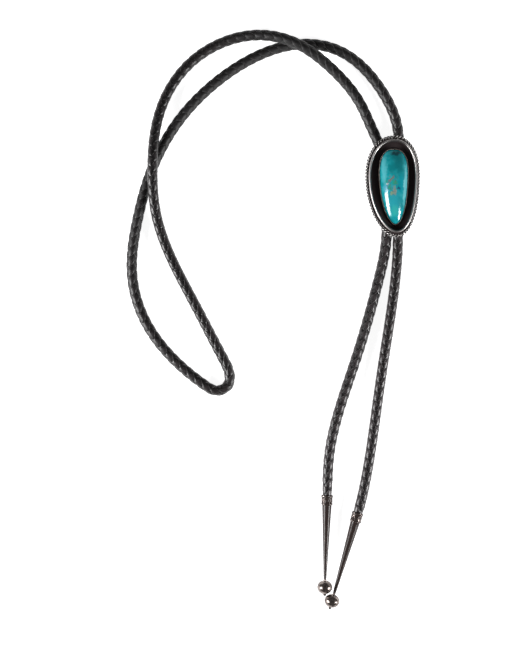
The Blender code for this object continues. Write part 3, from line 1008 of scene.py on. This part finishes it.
tip = {
    "around": 112,
    "ringLobes": 8,
    "ringLength": 0.00115,
    "ringTwist": 0.9,  # radians of slant over the ring's length
    "bandFrom": 0.0013,
    "bandTo": 0.0041,
    "bandTeeth": 11,
    "bandDepth": 0.00010,
    "toothRange": (0.10, 0.22),  # of the band's width, from the zigzag's line to the raised triangles
    "zigzagFrom": 0.15,  # the zigzag's line runs from here to the same distance from the far side
    "bandShine": (0.05, 0.25),  # in the stamped grounds, and added on the triangles
    "ringShine": (0.72, 0.85),  # shines from this share of a ring's height, and this much
    "secondRing": 0.00463,
    "secondRingLength": 0.00085,
    "secondRingStand": 0.00016,
    "secondRingLobes": 16,
    "coneWide": 0.0048,
    "coneNarrow": 0.0014,
    "nubDiameter": 0.0015,
    "nubLength": 0.0009,
    "collarRows": 64,
    "coneRows": 40,
    "ballRows": 44,
    "nubRows": 8,
    "nubClose": 0.96,  # the nub's end stays open this near to its middle, as a tiny flat
    "socketFloor": 0.0001,  # radius of the tiny flat in the socket's floor
    "coneShine": 0.05,
    "ballShine": 0.44,
    "nubShine": 0.15,
}


def collarRadius(along, turn):
    # The sleeve, and on it a twisted ring at the mouth, a band stamped with two facing rows of triangles, and
    # a second ring. A ring stands out as half an oval, notched by the cosine of its lobes along a slant.
    def ring(middle, length, stand, lobes, depth):
        reach = np.sqrt(np.clip(1 - ((along - middle) / (length / 2)) ** 2, 0.0, 1.0))
        slant = tip["ringTwist"] * (along - middle) / length * 4
        notch = 1 - depth * (0.5 - 0.5 * np.cos(lobes * turn + slant))
        return stand * reach * notch

    share = (along - tip["bandFrom"]) / (tip["bandTo"] - tip["bandFrom"])
    zigzag = np.abs((tip["bandTeeth"] * turn / (2 * np.pi)) % 1.0 - 0.5) * 2
    zigzagLine = tip["zigzagFrom"] + (1 - 2 * tip["zigzagFrom"]) * zigzag
    raised = smoothStep(*tip["toothRange"], np.abs(share - zigzagLine))
    inBand = smoothStep(-0.02, 0.06, share) * (1 - smoothStep(0.94, 1.02, share))
    mouth = ring(tip["ringLength"] / 2, tip["ringLength"], sizes["collarRing"], tip["ringLobes"], 0.75)
    stand = tip["secondRingStand"]
    second = ring(tip["secondRing"], tip["secondRingLength"], stand, tip["secondRingLobes"], 0.6)
    coneStart = smoothStep(tip["secondRing"], sizes["collarLength"], along)
    sleeve = sleeveOuter + (tip["coneWide"] / 2 - sleeveOuter) * coneStart
    radius = sleeve + mouth + second - tip["bandDepth"] * inBand * (1 - raised)
    crests = np.maximum(mouth / sizes["collarRing"], second / stand)
    ground, added = tip["bandShine"]
    shineFrom, ringShine = tip["ringShine"]
    polish = np.maximum(ground + added * raised * inBand, ringShine * smoothStep(shineFrom, 1.0, crests))
    return radius, polish


def makeTip(name):
    # A profile of along and radius turned round the tip's axis; the collar's radius also changes round it.
    turn = np.linspace(0.0, 2 * np.pi, tip["around"], endpoint=False)
    narrow = tip["coneNarrow"] / 2
    ballHalf = sizes["ballLength"] / 2
    ballRadius = sizes["ballDiameter"] / 2
    nub = tip["nubDiameter"] / 2
    socket = [(socketDepth, tip["socketFloor"]), (socketDepth, sleeveInner)]
    socket = np.array([*socket, (0.5 * socketDepth, sleeveInner), (0.0, sleeveInner)])
    collarAlong = np.linspace(0.0, sizes["collarLength"], tip["collarRows"])
    collar, collarPolish = collarRadius(collarAlong[:, None], turn)
    ballStart = np.pi - np.arcsin(narrow / ballRadius)
    ballEnd = np.arcsin(nub / ballRadius)
    coneEnd = sizes["tipLength"] + ballHalf * np.cos(ballStart)
    coneShare = np.linspace(0.0, 1.0, tip["coneRows"])[1:-1]
    coneAlong = sizes["collarLength"] + (coneEnd - sizes["collarLength"]) * coneShare
    cone = tip["coneWide"] / 2 + (narrow - tip["coneWide"] / 2) * coneShare
    ballTurn = np.linspace(ballStart, ballEnd, tip["ballRows"])
    ballAlong = sizes["tipLength"] + ballHalf * np.cos(ballTurn)
    ball = ballRadius * np.sin(ballTurn)
    nubTurn = np.linspace(0.0, np.pi / 2 * tip["nubClose"], tip["nubRows"])
    nubAlong = sizes["tipLength"] + ballHalf + tip["nubLength"] * (np.sin(nubTurn) ** 0.5)
    nubRadius = nub * np.cos(nubTurn) ** 0.5
    along = np.concatenate([socket[:, 0], collarAlong, coneAlong, ballAlong, nubAlong])
    turned = np.concatenate([cone, ball, nubRadius])
    radius = np.vstack([
        np.repeat(socket[:, 1:], len(turn), axis=1),
        collar,
        np.repeat(turned[:, None], len(turn), axis=1),
    ])
    rows = (len(cone), len(ball), len(nubAlong))
    shine = np.repeat([tip["coneShine"], tip["ballShine"], tip["nubShine"]], rows)
    shine = np.repeat(shine[:, None], len(turn), axis=1)
    polish = np.vstack([np.zeros((len(socket), len(turn))), collarPolish, shine])
    mouth, axis = tipAxis(name)
    side = unit(np.cross(axis, upward))
    up = np.cross(side, axis)
    spoke = np.cos(turn)[:, None] * side + np.sin(turn)[:, None] * up
    grid = mouth + along[:, None, None] * axis + radius[..., None] * spoke
    return makePiece(name + "_collar_cone_and_ball", [grid], {"polish": [polish]}, sharp=60)


tipTones = {
    "bright": (0.48, 0.42, 0.39),
    "dull": (0.19, 0.145, 0.13),
    "black": (0.030, 0.021, 0.019),
    "cloudSize": 750.0,
    "clouding": 0.30,
    "roughBlack": 0.19,
    "roughBright": 0.20,
}
tipSilver = silverMaterial("tarnished_tip_silver", tipTones)
for name in tipPlaces:
    dress(makeTip(name), tipSilver, "tip_silver", name)


# Clasp, which keeps its CAD shape


claspMetal = {
    "dull": (0.36, 0.35, 0.34),
    "bright": (0.58, 0.57, 0.55),
    "cloudScale": 500.0,
    "grainScale": 9000.0,
    "grainSquash": (1.0, 0.04, 1.0),
    "roughness": (0.28, 0.46),
    "grainBump": (0.00002, 0.4),
}


def claspMaterial():
    # Satin white metal, drawn along the cord: the grain is noise stretched along Y.
    material, tree, shader = newMaterial("satin_clasp_metal")
    place = objectCoordinates(tree)
    stretched = vectorMath(tree, "MULTIPLY", in0=place, in1=claspMetal["grainSquash"])
    grain = noise(tree, stretched, claspMetal["grainScale"], 3.0, 0.6)
    cloud = noise(tree, place, claspMetal["cloudScale"], 3.0, 0.5)
    color = mixColor(tree, cloud, claspMetal["dull"], claspMetal["bright"])
    tree.links.new(color, shader.inputs["Base Color"])
    rough = mapRange(tree, grain, 0.3, 0.7, *claspMetal["roughness"])
    tree.links.new(rough, shader.inputs["Roughness"])
    shader.inputs["Metallic"].default_value = 1.0
    bump(tree, shader, grain, *claspMetal["grainBump"])
    return material


clasp = bpy.data.objects["cord_clasp"]
clasp.data.materials.clear()
clasp.data.materials.append(claspMaterial())
print("clasp dressed")
